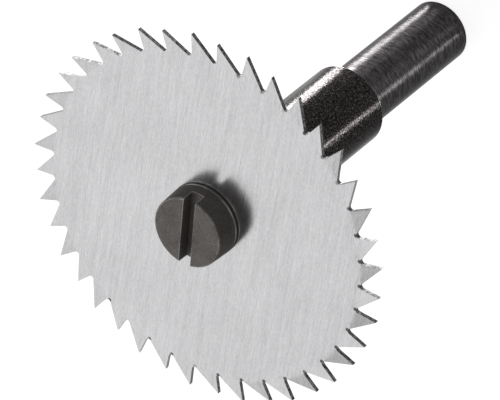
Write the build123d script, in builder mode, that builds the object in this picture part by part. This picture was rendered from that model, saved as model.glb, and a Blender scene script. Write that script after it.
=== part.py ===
from build123d import *
from math import atan, atan2, cos, degrees, radians, sin, tan
import os

# Slotting cutter: a thin saw blade, clamped on the end of a turned arbor by a slotted screw.
# It stands on the end of its shank. The origin is the centre of that end face, with +Z along
# the axis towards the screw head. All sizes are in millimetres and degrees.

# Arbor: the shank goes in a drill chuck, and the thicker collar carries the blade
shank_diameter = 10.0
shank_length = 26.8
shank_end_chamfer = 0.4
collar_diameter = 13.0
collar_length = 37.3
shoulder_fillet = 0.3
collar_chamfer = 0.15

# Spigot on the collar's face, which centres the blade
spigot_diameter = 8.0
spigot_recess = 0.15
spigot_chamfer = 0.1
bore_clearance = 0.05

# Blade with alternately set teeth
blade_diameter = 60.0
blade_thickness = 0.65
tooth_count = 40
tooth_depth = 3.85
gullet_radius = 0.45
tooth_set = 0.26
bend_rise = 0.1
rim_stock = 1.0

# Clamping screw with a slightly tapered cheese head
thread_diameter = 6.0
thread_clearance = 0.05
thread_lead = 0.5
stem_length = 14.0
tapped_depth = 18.0
drill_point_angle = 118.0
head_diameter = 11.7
head_height = 4.4
head_taper_angle = 3.0
head_chamfer = 0.15
slot_width = 2.0
slot_depth = 2.2
slot_azimuth = 53.6

# Heights along the axis
shoulder_height = shank_length
blade_back = shoulder_height + collar_length
blade_front = blade_back + blade_thickness
spigot_top = blade_front - spigot_recess
head_top = blade_front + head_height

# Radii
shank_radius = shank_diameter / 2
collar_radius = collar_diameter / 2
spigot_radius = spigot_diameter / 2
bore_radius = spigot_radius + bore_clearance
tapped_radius = thread_diameter / 2 + thread_clearance
head_radius = head_diameter / 2
head_top_radius = head_radius - head_height * tan(radians(head_taper_angle))

os.makedirs("parts", exist_ok=True)

# Arbor, turned from one bar
with BuildPart() as arbor:
    with BuildSketch(Plane.XZ):
        with BuildLine():
            Polyline(
                (0, 0),
                (shank_radius, 0),
                (shank_radius, shoulder_height),
                (collar_radius, shoulder_height),
                (collar_radius, blade_back),
                (spigot_radius, blade_back),
                (spigot_radius, spigot_top),
                (0, spigot_top),
                close=True,
            )
        make_face()
    revolve(axis=Axis.Z)

    rims = arbor.edges().filter_by(GeomType.CIRCLE)
    shank_rim = rims.group_by(Axis.Z)[0]
    shoulder_rims = rims.group_by(Axis.Z)[1].sort_by(SortBy.RADIUS)
    face_rims = rims.group_by(Axis.Z)[2].sort_by(SortBy.RADIUS)
    spigot_rim = rims.group_by(Axis.Z)[3]
    chamfer(shank_rim, shank_end_chamfer)
    chamfer([shoulder_rims[-1], face_rims[-1]], collar_chamfer)
    chamfer(spigot_rim, spigot_chamfer)
    fillet(shoulder_rims[0], shoulder_fillet)

    # Tapped hole with its drill point
    tapped_floor = blade_back - tapped_depth
    drill_point = tapped_radius / tan(radians(drill_point_angle / 2))
    with BuildSketch(Plane.XZ):
        with BuildLine():
            Polyline(
                (0, tapped_floor - drill_point),
                (tapped_radius, tapped_floor),
                (tapped_radius, spigot_top),
                (0, spigot_top),
                close=True,
            )
        make_face()
    revolve(axis=Axis.Z, mode=Mode.SUBTRACT)

arbor.part.label = "arbor"
export_step(arbor.part, "parts/arbor.step")

# Tooth form: each rake face is radial, so a tip and the corner of its gullet share a ray.
# The straight back of the next tooth rises from that corner, which is then rounded.
pitch = 360 / tooth_count
tip_radius = blade_diameter / 2
corner_radius = tip_radius - tooth_depth
tip_rise = tip_radius * cos(radians(pitch)) - corner_radius
gullet_angle = atan2(tip_radius * sin(radians(pitch)), tip_rise)
gullet_floor = corner_radius + gullet_radius / tan(gullet_angle / 2) - gullet_radius

# The bend lines of the set are the sides of a polygon whose corners lie in the gullets
bend_corner_radius = gullet_floor + bend_rise
bend_corner_azimuth = degrees(atan(gullet_radius / bend_corner_radius))
bend_width = 2 * bend_corner_radius * sin(radians(pitch / 2))
bend_distance = bend_corner_radius * cos(radians(pitch / 2))
tooth_reach = tip_radius * cos(radians(pitch / 2 - bend_corner_azimuth)) - bend_distance
bend_slope = tooth_set / tooth_reach


def leaf_plane(tooth, slope):
    """Plane of one tooth's leaf, hinged on its bend line and rising outwards by the slope."""
    outward = Vector(1, 0, 0).rotate(Axis.Z, bend_corner_azimuth + (tooth - 0.5) * pitch)
    hinge = outward * bend_distance + Vector(0, 0, blade_back)
    uphill = outward + Vector(0, 0, slope)
    normal = Vector(0, 0, 1) - outward * slope
    return Plane(hinge, x_dir=uphill, z_dir=normal)


with BuildPart() as saw_blade:
    # Flat disc inside the bend lines
    with BuildSketch(Plane.XY.offset(blade_back)):
        RegularPolygon(bend_corner_radius, tooth_count, rotation=bend_corner_azimuth)
    extrude(amount=blade_thickness)

    # One leaf for each tooth, bent towards the screw and the shank in turn
    for first_tooth, slope in ((0, bend_slope), (1, -bend_slope)):
        leaf_planes = [leaf_plane(tooth, slope) for tooth in range(first_tooth, tooth_count, 2)]
        with BuildSketch(*leaf_planes):
            Rectangle(tooth_reach + rim_stock, bend_width, align=(Align.MIN, Align.CENTER))
        extrude(amount=blade_thickness, dir=(0, 0, 1))

    # Teeth and bore, cut through the bent blank
    with BuildSketch(Plane.XY.offset(blade_back - 2 * tooth_set)) as tooth_outline:
        with BuildLine():
            outline_points = []
            for tooth in range(tooth_count):
                for radius in (tip_radius, corner_radius):
                    outline_points.append(Vector(radius, 0).rotate(Axis.Z, tooth * pitch))
            Polyline(*outline_points, close=True)
        make_face()
        fillet(tooth_outline.vertices().group_by(SortBy.DISTANCE)[0], gullet_radius)
        Circle(bore_radius, mode=Mode.SUBTRACT)
    extrude(amount=blade_thickness + 4 * tooth_set, mode=Mode.INTERSECT)

saw_blade.part.label = "saw_blade"
export_step(saw_blade.part, "parts/saw_blade.step")

# Clamping screw, with its stem in the tapped hole and its head on the blade
with BuildPart() as clamping_screw:
    with BuildSketch(Plane.XZ):
        with BuildLine():
            Polyline(
                (0, blade_front - stem_length),
                (thread_diameter / 2, blade_front - stem_length),
                (thread_diameter / 2, blade_front),
                (head_radius, blade_front),
                (head_top_radius, head_top),
                (0, head_top),
                close=True,
            )
        make_face()
    revolve(axis=Axis.Z)
    chamfer(clamping_screw.edges().filter_by(GeomType.CIRCLE).group_by(Axis.Z)[0], thread_lead)
    head_rims = clamping_screw.edges().filter_by(GeomType.CIRCLE).sort_by(SortBy.RADIUS)[-2:]
    chamfer(head_rims, head_chamfer)
    with BuildSketch(Plane.XY.offset(head_top)):
        Rectangle(head_diameter, slot_width, rotation=slot_azimuth)
    extrude(amount=-slot_depth, mode=Mode.SUBTRACT)

clamping_screw.part.label = "clamping_screw"
export_step(clamping_screw.part, "parts/clamping_screw.step")
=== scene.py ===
from math import atan2, cos, degrees, pi, radians, sin, tan

import bpy
from mathutils import Matrix, Vector

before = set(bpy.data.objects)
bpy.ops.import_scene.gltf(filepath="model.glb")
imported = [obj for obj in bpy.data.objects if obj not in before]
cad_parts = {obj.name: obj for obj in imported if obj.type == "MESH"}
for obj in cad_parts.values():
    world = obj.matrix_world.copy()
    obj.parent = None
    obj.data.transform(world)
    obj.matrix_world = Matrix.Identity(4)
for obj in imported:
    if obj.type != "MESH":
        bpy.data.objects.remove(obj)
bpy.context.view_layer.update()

# Lengths are in metres and angles in degrees
MM = 0.001
UP = Vector((0, 0, 1))

# Places on the cutter
SHANK_RADIUS = 5.0 * MM
SHOULDER_HEIGHT = 26.8 * MM
# Height of the painted highlight line on the screw's head
REAR_HIGHLIGHT_HEIGHT = 65.22 * MM
TOOTH_COUNT = 40
GULLET_RADIUS = 26.50 * MM
GULLET_AZIMUTH = 0.9

# The camera, as fitted to the photograph, and how near and far it sees
CAMERA_PLACE = Vector((-0.42019, -0.13376, 0.48907))
CAMERA_AIM = Vector((-0.00993, -0.00110, 0.06476))
CAMERA_ROLL = -128.91
CAMERA_AZIMUTH = degrees(atan2(CAMERA_PLACE.y, CAMERA_PLACE.x))
LENS_MM = 306.76
SENSOR_MM = 36.0
CLIP_RANGE = (0.01, 20.0)

# Soft lamps, which light matt surfaces and don't show in gloss:
# name, azimuth, elevation, distance, width, height, radiance
LAMPS = (
    ("window_lamp", -6.0, 31.5, 0.50, 0.51, 0.44, 0.50),
    ("top_lamp", 18.0, 58.0, 0.60, 0.45, 0.45, 2.7),
)
LAMP_AIM = Vector((0, 0, 0.045))

# Highlights along the arbor. Its upright flanks mirror the floor, so each highlight comes from a
# row of lamps that lie there and show in the arbor alone. Each lamp reaches twice as far out as
# the one before. The near ones show in the shank and the far ones in the collar:
# name, azimuth of the lit flank, half angle of the row, first and last lamp, radiance
HIGHLIGHTS = (
    ("shank_glint", -112.2, 10.0, 0, 3, 24.0),
    ("shank_thin_glint", 170.5, 5.0, 0, 3, 8.0),
    ("shank_left_band", -131.0, 22.0, 0, 3, 1.3),
    ("shank_right_band", -172.0, 14.0, 0, 3, 0.6),
    ("collar_glint", -115.0, 10.5, 4, 6, 66.0),
    ("collar_soft_glint", -100.0, 16.0, 4, 6, 1.5),
    ("collar_thin_glint", 173.0, 3.5, 4, 6, 25.0),
)
ROW_START = 1.75 * MM
FLOOR_LAMP_HEIGHT = 0.5 * MM

# Glints on the cut flanks of the teeth, from lamps on the floor that show in the blade alone:
# name, place across and along the floor, width, depth, radiance
GLINTS = (
    ("back_glint", 38.0 * MM, -85.0 * MM, 75.0 * MM, 36.0 * MM, 7.0),
    ("rake_glint", -12.0 * MM, -52.0 * MM, 62.0 * MM, 24.0 * MM, 9.0),
)

# The floor, a hair below the end of the shank: a grey that takes the shadow, and a glow that
# makes it look white
FLOOR_RADIUS = 3.0
FLOOR_SIDES = 96
FLOOR_DROP = 0.01 * MM
FLOOR_GREY = (0.35, 0.35, 0.35, 1.0)
FLOOR_GLOW = 0.88

# The surroundings: how strongly they light, and where and how far they fall off to grey
WORLD_STRENGTH = 0.22
GREY_SIDE = Vector((-0.550, 0.813, 0.189)).normalized()
GREY_RANGE = (0.0, 0.06)
GREY_LEVEL = 0.6

# Colours
WHITE = (1.0, 1.0, 1.0, 1.0)
GROUND_STEEL = (0.62, 0.62, 0.63, 1.0)
# Painted shade of the cut flanks, the gullets and the blade's rims
PAINTED_SHADE_STEEL = (0.045, 0.045, 0.045, 1.0)
SHANK_STEEL = (0.036, 0.0335, 0.034, 1.0)
COLLAR_STEEL = (0.0125, 0.0113, 0.011, 1.0)
OXIDE_STEEL = (0.133, 0.121, 0.114, 1.0)
# Bare steel of worn edges, and of the screw's painted highlight lines
BARE_STEEL_AND_HIGHLIGHT = (0.85, 0.84, 0.82, 1.0)

# The blade's grain, the side where its gullets get painted shade and how fast that shade thins out
# away from it, and the tilt from level past which a face is a cut flank
GRAIN_AZIMUTH = 49.7
SHADED_AZIMUTH = 125.0
SHADE_SLOPE = 8.0
FLANK_TILT = 60.0

# Where things start to show and where they show in full: a gullet's painted shade by its distance
# from the foot of the gullet, the screw's painted highlight line by the height off it, and an edge
# by the cosine between the rounded and the true normal
SHADE_SPOT_FADE = (0.38 * MM, 0.228 * MM)
REAR_HIGHLIGHT_FADE = (0.16 * MM, 0.06 * MM)
EDGE_FADE = (0.998, 0.96)

# The radius that softens the bends of the teeth, and the least cosine between the rounded and
# the true normal that is still a bend and not an edge
BEND_RADIUS = 1.2 * MM
BEND_COSINE = 0.9965

# The range that most of a noise lies in, and the wider one of nearly all of it
NOISE_RANGE = (0.3, 0.7)
WIDE_NOISE_RANGE = (0.2, 0.8)

# Roughness of the blade and the collar, roughness of the shank, and how high the collar's grain
# stands beside the shank's rings
SATIN_ROUGHNESS = (0.17, 0.25)
SHANK_ROUGHNESS = (0.23, 0.31)
COLLAR_RELIEF = 0.35

# The Mix node's sockets for the two values and the result, by kind of value
MIX_SOCKETS = {"FLOAT": (2, 3, 0), "VECTOR": (4, 5, 1), "RGBA": (6, 7, 2)}


def direction(azimuth, elevation=0.0):
    """The unit vector towards that azimuth and elevation."""
    across = cos(radians(elevation))
    x = across * cos(radians(azimuth))
    y = across * sin(radians(azimuth))
    return Vector((x, y, sin(radians(elevation))))


def shade(colour, factor):
    """The colour, made darker or lighter by that factor."""
    red, green, blue, alpha = colour
    return (factor * red, factor * green, factor * blue, alpha)


# Nodes

def new_material(name):
    """An empty node material and its tree."""
    material = bpy.data.materials.new(name)
    material.use_nodes = True
    material.node_tree.nodes.clear()
    return material, material.node_tree


def add(tree, kind, inputs=None, **settings):
    """A node of that kind, with its settings, and its inputs set or linked."""
    node = tree.nodes.new("ShaderNode" + kind)
    for name, value in settings.items():
        setattr(node, name, value)
    for socket, value in (inputs or {}).items():
        if isinstance(value, bpy.types.NodeSocket):
            tree.links.new(value, node.inputs[socket])
        else:
            node.inputs[socket].default_value = value
    return node


def finish_material(tree, shader):
    """Sends the shader to the material's output."""
    add(tree, "OutputMaterial", {"Surface": shader})


def calculate(tree, operation, first, second=0.0):
    """The result of an operation on one or two numbers."""
    return add(tree, "Math", {0: first, 1: second}, operation=operation).outputs["Value"]


def dot(tree, first, second):
    """The dot product of two vectors."""
    return add(tree, "VectorMath", {0: first, 1: second}, operation="DOT_PRODUCT").outputs["Value"]


def magnitude(tree, vector):
    """The length of a vector."""
    return add(tree, "VectorMath", {0: vector}, operation="LENGTH").outputs["Value"]


def parts_of(tree, vector):
    """A vector's parts, by the names X, Y and Z."""
    return add(tree, "SeparateXYZ", {"Vector": vector}).outputs


def remap(tree, value, source, target=(0.0, 1.0)):
    """The value, carried from one range to another and kept inside it."""
    names = ("Value", "From Min", "From Max", "To Min", "To Max")
    inputs = dict(zip(names, (value, *source, *target)))
    return add(tree, "MapRange", inputs).outputs["Result"]


def mix(tree, kind, factor, first, second):
    """The mix of two values of one kind."""
    first_socket, second_socket, result = MIX_SOCKETS[kind]
    inputs = {"Factor": factor, first_socket: first, second_socket: second}
    return add(tree, "Mix", inputs, data_type=kind).outputs[result]


def mottle(tree, tone, colour, dark, light):
    """The colour times a factor, from dark where the tone is 0 to light where it is 1."""
    return mix(tree, "RGBA", tone, shade(colour, dark), shade(colour, light))


def noise(tree, vector, scale=1.0, detail=2.0, roughness=0.5):
    """A noise texture's value, from 0 to 1."""
    inputs = {"Vector": vector, "Scale": scale, "Detail": detail, "Roughness": roughness}
    return add(tree, "TexNoise", inputs).outputs["Fac"]


def rounded_normal(tree, radius, samples):
    """The normal with rounded edges, the true normal, and the cosine of the angle between them."""
    rounded = add(tree, "Bevel", {"Radius": radius}, samples=samples).outputs["Normal"]
    true = add(tree, "NewGeometry").outputs["True Normal"]
    return rounded, true, dot(tree, rounded, true)


def edge_mask(tree, radius, strength=1.0):
    """That strength along sharp edges and 0 away from them."""
    _, _, cosine = rounded_normal(tree, radius, samples=6)
    return remap(tree, cosine, EDGE_FADE, (0.0, strength))


# The blade

def bend_normal(tree):
    """The normal, softened across the shallow bends of the teeth but not at sharp edges."""
    rounded, true, cosine = rounded_normal(tree, BEND_RADIUS, samples=8)
    on_bend = calculate(tree, "GREATER_THAN", cosine, BEND_COSINE)
    return mix(tree, "VECTOR", on_bend, true, rounded)


def gullet_spots(tree, place):
    """1 on a small round spot at the foot of each gullet and 0 elsewhere."""
    flat = add(tree, "VectorMath", {0: place, 1: (1, 1, 0)}, operation="MULTIPLY").outputs["Vector"]
    radius = magnitude(tree, flat)
    parts = parts_of(tree, place)
    azimuth = calculate(tree, "ARCTAN2", parts["Y"], parts["X"])
    azimuth = calculate(tree, "SUBTRACT", azimuth, radians(GULLET_AZIMUTH))
    aside = calculate(tree, "PINGPONG", azimuth, pi / TOOTH_COUNT)
    across = calculate(tree, "MULTIPLY", aside, radius)
    outwards = calculate(tree, "SUBTRACT", radius, GULLET_RADIUS)
    offset = add(tree, "CombineXYZ", {"X": across, "Y": outwards}).outputs["Vector"]
    return remap(tree, magnitude(tree, offset), SHADE_SPOT_FADE)


def gullet_painted_shade(tree, place):
    """Painted shade on the spots in the gullets, in patches that are denser on the shaded side."""
    towards = dot(tree, place, direction(SHADED_AZIMUTH))
    lean = calculate(tree, "MULTIPLY", towards, SHADE_SLOPE)
    patches = calculate(tree, "ADD", noise(tree, place, scale=400.0), lean)
    strength = remap(tree, patches, source=(0.45, 0.6), target=(0.0, 0.9))
    return calculate(tree, "MULTIPLY", gullet_spots(tree, place), strength)


def streaks(tree, place, length, width):
    """A noise drawn out along the grain of the blade."""
    turn = (0, 0, radians(GRAIN_AZIMUTH))
    inputs = {"Vector": place, "Rotation": turn, "Scale": (length, width, width)}
    along_grain = add(tree, "Mapping", inputs, vector_type="TEXTURE").outputs["Vector"]
    return noise(tree, along_grain, roughness=0.6)


def ground_face(tree, place, fine):
    """The colour of the blade's faces: grain, and painted shade in the gullets and along the rims.
    """
    broad = streaks(tree, place, length=18.0 * MM, width=0.9 * MM)
    flecks = streaks(tree, place, length=0.5 * MM, width=0.14 * MM)
    clouds = noise(tree, place, scale=90.0, detail=4.0)

    # From the middle, each pattern moves the tone up and down by its share
    tone = 0.5
    for pattern, share in ((fine, 0.25), (broad, 0.1), (flecks, 0.2), (clouds, 0.06)):
        tone = calculate(tree, "ADD", tone, remap(tree, pattern, NOISE_RANGE, (-share, share)))
    grain = mottle(tree, tone, GROUND_STEEL, dark=0.77, light=1.23)

    # Painted shade along the rims of the teeth, in patches
    patchiness = remap(tree, flecks, source=(0.3, 0.6), target=(0.0, 0.7))
    rims = calculate(tree, "MULTIPLY", edge_mask(tree, radius=0.06 * MM), patchiness)
    shaded = calculate(tree, "MAXIMUM", gullet_painted_shade(tree, place), rims)
    return mix(tree, "RGBA", shaded, grain, PAINTED_SHADE_STEEL)


def flank_painted_shade(tree, place):
    """The colour of the blade's cut flanks: painted shade, with the scars of the cut."""
    scars = noise(tree, place, scale=2200.0, detail=3.0, roughness=0.7)
    tone = remap(tree, scars, source=(0.4, 0.65))
    return mottle(tree, tone, PAINTED_SHADE_STEEL, dark=0.3, light=3.0)


def ground_steel():
    """The blade: bright steel with a fine straight grain, and painted shade on its cut flanks."""
    material, tree = new_material("ground_steel")
    place = add(tree, "TexCoord").outputs["Object"]
    normal = add(tree, "NewGeometry").outputs["True Normal"]
    upright = calculate(tree, "ABSOLUTE", parts_of(tree, normal)["Z"])
    on_flank = calculate(tree, "LESS_THAN", upright, cos(radians(FLANK_TILT)))

    fine = streaks(tree, place, length=3.5 * MM, width=0.09 * MM)
    face = ground_face(tree, place, fine)
    grooves = {"Strength": 0.25, "Distance": 0.01 * MM, "Height": fine, "Normal": bend_normal(tree)}
    shader = add(tree, "BsdfPrincipled", {
        "Base Color": mix(tree, "RGBA", on_flank, face, flank_painted_shade(tree, place)),
        "Metallic": 1.0,
        "Roughness": remap(tree, fine, WIDE_NOISE_RANGE, SATIN_ROUGHNESS),
        "Anisotropic": 0.6,
        "Tangent": mix(tree, "VECTOR", on_flank, direction(GRAIN_AZIMUTH), UP),
        "Normal": add(tree, "Bump", grooves).outputs["Normal"],
    })
    finish_material(tree, shader.outputs["BSDF"])
    return material


# The arbor

def blackened_steel():
    """The arbor: turned bar, blackened, with fine rings on the shank and a grainier collar."""
    material, tree = new_material("blackened_steel")
    place = add(tree, "TexCoord").outputs["Object"]
    on_collar = calculate(tree, "GREATER_THAN", parts_of(tree, place)["Z"], SHOULDER_HEIGHT)

    ring_scale = (600.0, 600.0, 3200.0)
    rings_at = add(tree, "Mapping", {"Vector": place, "Scale": ring_scale}).outputs["Vector"]
    rings = noise(tree, rings_at, detail=4.0, roughness=0.85)
    ring_tone = remap(tree, rings, source=(0.40, 0.65))
    shank = mottle(tree, ring_tone, SHANK_STEEL, dark=0.35, light=1.8)
    shank_roughness = remap(tree, rings, WIDE_NOISE_RANGE, SHANK_ROUGHNESS)

    grains = noise(tree, place, scale=3400.0, detail=3.0, roughness=0.75)
    grain_tone = remap(tree, grains, source=(0.47, 0.72))
    collar = mottle(tree, grain_tone, COLLAR_STEEL, dark=0.45, light=5.5)
    collar_roughness = remap(tree, grains, WIDE_NOISE_RANGE, SATIN_ROUGHNESS)
    collar_relief = calculate(tree, "MULTIPLY", grains, COLLAR_RELIEF)

    blackened = mix(tree, "RGBA", on_collar, shank, collar)
    worn = edge_mask(tree, radius=0.12 * MM, strength=0.25)
    relief = mix(tree, "FLOAT", on_collar, rings, collar_relief)
    grooves = {"Strength": 0.2, "Distance": 0.01 * MM, "Height": relief}
    shader = add(tree, "BsdfPrincipled", {
        "Base Color": mix(tree, "RGBA", worn, blackened, BARE_STEEL_AND_HIGHLIGHT),
        "Metallic": 1.0,
        "Roughness": mix(tree, "FLOAT", on_collar, shank_roughness, collar_roughness),
        "Specular Tint": (0.57, 0.57, 0.57, 1.0),
        "Anisotropic": 0.6,
        "Anisotropic Rotation": 0.25,
        "Tangent": add(tree, "Tangent", direction_type="RADIAL", axis="Z").outputs["Tangent"],
        "Normal": add(tree, "Bump", grooves).outputs["Normal"],
    })
    finish_material(tree, shader.outputs["BSDF"])
    return material


# The screw

def bare_edges_and_highlight_line(tree, place):
    """1 along the head's front edges and its painted highlight line at the rear, and 0 elsewhere.
    """
    height = parts_of(tree, place)["Z"]
    in_front = calculate(tree, "GREATER_THAN", height, REAR_HIGHLIGHT_HEIGHT)
    front_edges = calculate(tree, "MULTIPLY", edge_mask(tree, radius=0.11 * MM), in_front)
    off_highlight_line = calculate(tree, "ABSOLUTE", calculate(tree, "SUBTRACT", height, REAR_HIGHLIGHT_HEIGHT))
    return calculate(tree, "MAXIMUM", front_edges, remap(tree, off_highlight_line, REAR_HIGHLIGHT_FADE))


def oxide_steel():
    """The screw: matt black oxide, with thin lines of bare steel and painted highlight along its
    edges.
    """
    material, tree = new_material("oxide_steel")
    place = add(tree, "TexCoord").outputs["Object"]

    grains = noise(tree, place, scale=3200.0, detail=3.0, roughness=0.7)
    blotches = noise(tree, place, scale=350.0)
    fine_tone = remap(tree, grains, NOISE_RANGE, target=(0.0, 0.7))
    broad_tone = remap(tree, blotches, NOISE_RANGE, target=(0.0, 0.3))
    tone = calculate(tree, "ADD", fine_tone, broad_tone)
    oxide = mottle(tree, tone, OXIDE_STEEL, dark=0.5, light=1.5)

    # The lines along the front edges are partly bare steel and partly painted highlight; the rear
    # line is painted highlight only
    patchiness = remap(tree, blotches, source=(0.4, 0.6), target=(0.2, 0.7))
    bare_and_highlight = calculate(tree, "MULTIPLY", bare_edges_and_highlight_line(tree, place), patchiness)
    pits = {"Strength": 0.3, "Distance": 0.02 * MM, "Height": grains}
    shader = add(tree, "BsdfPrincipled", {
        "Base Color": mix(tree, "RGBA", bare_and_highlight, oxide, BARE_STEEL_AND_HIGHLIGHT),
        "Metallic": bare_and_highlight,
        "Roughness": 0.6,
        "Specular IOR Level": 0.25,
        "Normal": add(tree, "Bump", pits).outputs["Normal"],
    })
    finish_material(tree, shader.outputs["BSDF"])
    return material


def dress(node, material):
    """Gives a CAD node its material."""
    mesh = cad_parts[node].data
    mesh.materials.clear()
    mesh.materials.append(material)


# The floor and the surroundings

def seen_rays(tree):
    """1 for rays from the eye, off gloss and through clear things, and 0 for those that light."""
    path = add(tree, "LightPath").outputs
    seen = calculate(tree, "MAXIMUM", path["Is Camera Ray"], path["Is Glossy Ray"])
    return calculate(tree, "MAXIMUM", seen, path["Is Transmission Ray"])


def white_floor():
    """Pale floor that keeps the shadow, and that the eye and the metal see as white."""
    material, tree = new_material("white_floor")
    strength = calculate(tree, "MULTIPLY", seen_rays(tree), FLOOR_GLOW)
    matt = add(tree, "BsdfDiffuse", {"Color": FLOOR_GREY}).outputs["BSDF"]
    glow = add(tree, "Emission", {"Color": WHITE, "Strength": strength}).outputs["Emission"]
    both = add(tree, "AddShader", {0: matt, 1: glow}).outputs["Shader"]
    finish_material(tree, both)
    return material


def build_floor():
    """A wide round floor under the cutter."""
    bpy.ops.mesh.primitive_circle_add(vertices=FLOOR_SIDES, radius=FLOOR_RADIUS, fill_type="NGON")
    floor = bpy.context.object
    floor.name = "floor"
    floor.location.z = -FLOOR_DROP
    floor.data.materials.append(white_floor())


def build_world():
    """White surroundings with one grey side, seen alike by the eye and the metal.

    A glossy ray that has met a matt surface before sees only what lights the cutter, so that
    the shining blade doesn't throw the bright backdrop onto the screw.
    """
    world = bpy.data.worlds.new("surroundings")
    bpy.context.scene.world = world
    world.use_nodes = True
    tree = world.node_tree
    tree.nodes.clear()

    towards = add(tree, "TexCoord").outputs["Generated"]
    backdrop = remap(tree, dot(tree, towards, GREY_SIDE), GREY_RANGE, (1.0, GREY_LEVEL))
    matt_bounces = add(tree, "LightPath").outputs["Diffuse Depth"]
    direct = calculate(tree, "LESS_THAN", matt_bounces, 1.0)
    seen = calculate(tree, "MULTIPLY", seen_rays(tree), direct)

    lit = add(tree, "Background", {"Color": WHITE, "Strength": WORLD_STRENGTH})
    shown = add(tree, "Background", {"Color": WHITE, "Strength": backdrop})
    inputs = {0: seen, 1: lit.outputs["Background"], 2: shown.outputs["Background"]}
    both = add(tree, "MixShader", inputs).outputs["Shader"]
    add(tree, "OutputWorld", {"Surface": both})


# The lamps

def area_lamp(name, width, height, radiance):
    """A rectangular lamp that the eye doesn't see."""
    lamp = bpy.data.lights.new(name, "AREA")
    lamp.shape = "RECTANGLE"
    lamp.size = width
    lamp.size_y = height
    lamp.energy = radiance * pi * width * height
    holder = bpy.data.objects.new(name, lamp)
    holder.visible_camera = False
    bpy.context.scene.collection.objects.link(holder)
    return holder


def build_lamps():
    """The soft lamps, all aimed at the collar."""
    for name, azimuth, elevation, distance, width, height, radiance in LAMPS:
        holder = area_lamp(name, width, height, radiance)
        towards = direction(azimuth, elevation)
        holder.location = LAMP_AIM + distance * towards
        holder.rotation_euler = (-towards).to_track_quat("-Z", "Y").to_euler()
        holder.visible_glossy = False


def mirror_group(node):
    """A collection that holds one CAD node, for lamps that show in it alone."""
    group = bpy.data.collections.new(node + "_mirror")
    group.objects.link(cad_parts[node])
    return group


def floor_lamp(name, place, azimuth, length, width, radiance, mirror):
    """A lamp that lies just above the floor, faces up, and shows only in one node's gloss."""
    holder = area_lamp(name, length, width, radiance)
    holder.location = place + FLOOR_LAMP_HEIGHT * UP
    holder.rotation_euler = (pi, 0, radians(azimuth))
    holder.visible_diffuse = False
    holder.light_linking.receiver_collection = mirror


def build_highlights():
    """Rows of lamps that widen outwards, for the highlights along the arbor."""
    mirror = mirror_group("arbor")
    for name, flank, half_angle, first, last, radiance in HIGHLIGHTS:
        # A flank mirrors the camera to the same angle on the other side of its own azimuth
        azimuth = 2 * flank - CAMERA_AZIMUTH
        row_foot = SHANK_RADIUS * direction(flank)
        for step in range(first, last + 1):
            near = ROW_START * 2 ** step
            far = 2 * near
            middle = (near + far) / 2
            width = 2 * middle * tan(radians(half_angle))
            place = row_foot + middle * direction(azimuth)
            floor_lamp(name, place, azimuth, far - near, width, radiance, mirror)


def build_glints():
    """Lamps for the bright flanks of the teeth."""
    mirror = mirror_group("saw_blade")
    for name, x, y, width, depth, radiance in GLINTS:
        floor_lamp(name, Vector((x, y, 0)), 0.0, width, depth, radiance, mirror)


# The camera

def build_camera():
    """The camera at the photograph's viewing angle."""
    data = bpy.data.cameras.new("camera")
    data.lens = LENS_MM
    data.sensor_width = SENSOR_MM
    data.clip_start, data.clip_end = CLIP_RANGE
    camera = bpy.data.objects.new("camera", data)
    bpy.context.scene.collection.objects.link(camera)
    look = (CAMERA_AIM - CAMERA_PLACE).normalized()
    right = look.cross(UP).normalized()
    level = Matrix((right, right.cross(look), -look)).transposed().to_4x4()
    roll = Matrix.Rotation(radians(CAMERA_ROLL), 4, "Z")
    camera.matrix_world = Matrix.Translation(CAMERA_PLACE) @ level @ roll
    bpy.context.scene.camera = camera


build_camera()
build_floor()
build_world()
build_lamps()
build_highlights()
build_glints()
dress("saw_blade", ground_steel())
dress("arbor", blackened_steel())
dress("clamping_screw", oxide_steel())

bpy.context.scene.view_settings.view_transform = "Standard"
